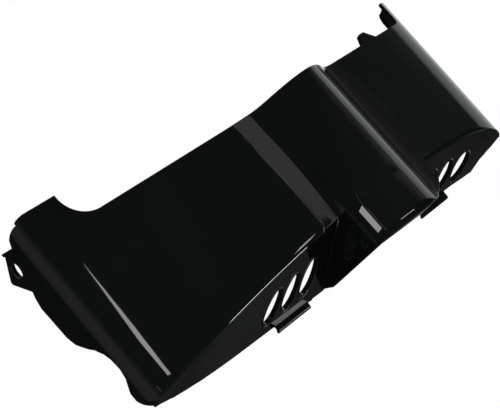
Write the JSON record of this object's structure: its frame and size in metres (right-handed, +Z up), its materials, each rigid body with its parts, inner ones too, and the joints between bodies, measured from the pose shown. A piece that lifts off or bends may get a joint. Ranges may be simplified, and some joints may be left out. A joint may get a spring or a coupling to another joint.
{
  "type": "inner fairing skirt",
  "caption": "One-piece gloss black fairing skirt: two flat wings beside a raised tunnel, oval vents in leaning front walls, an end flange with a fixing tab, and hooked clips.",
  "frame": {"origin": "centre of the fixing tab hole, on the outer face of the long wing flange", "axes": "+X along the skirt from the long wing to the short wing, +Y to the back edge, +Z up, square to the wing panels"},
  "size_m": [0.3646, 0.1362, 0.0889],
  "materials": {
    "gloss_black": "high gloss, colour moulded"
  },
  "bodies": {
    "root": {"skirt": "gloss_black"}
  },
  "joints": []
}
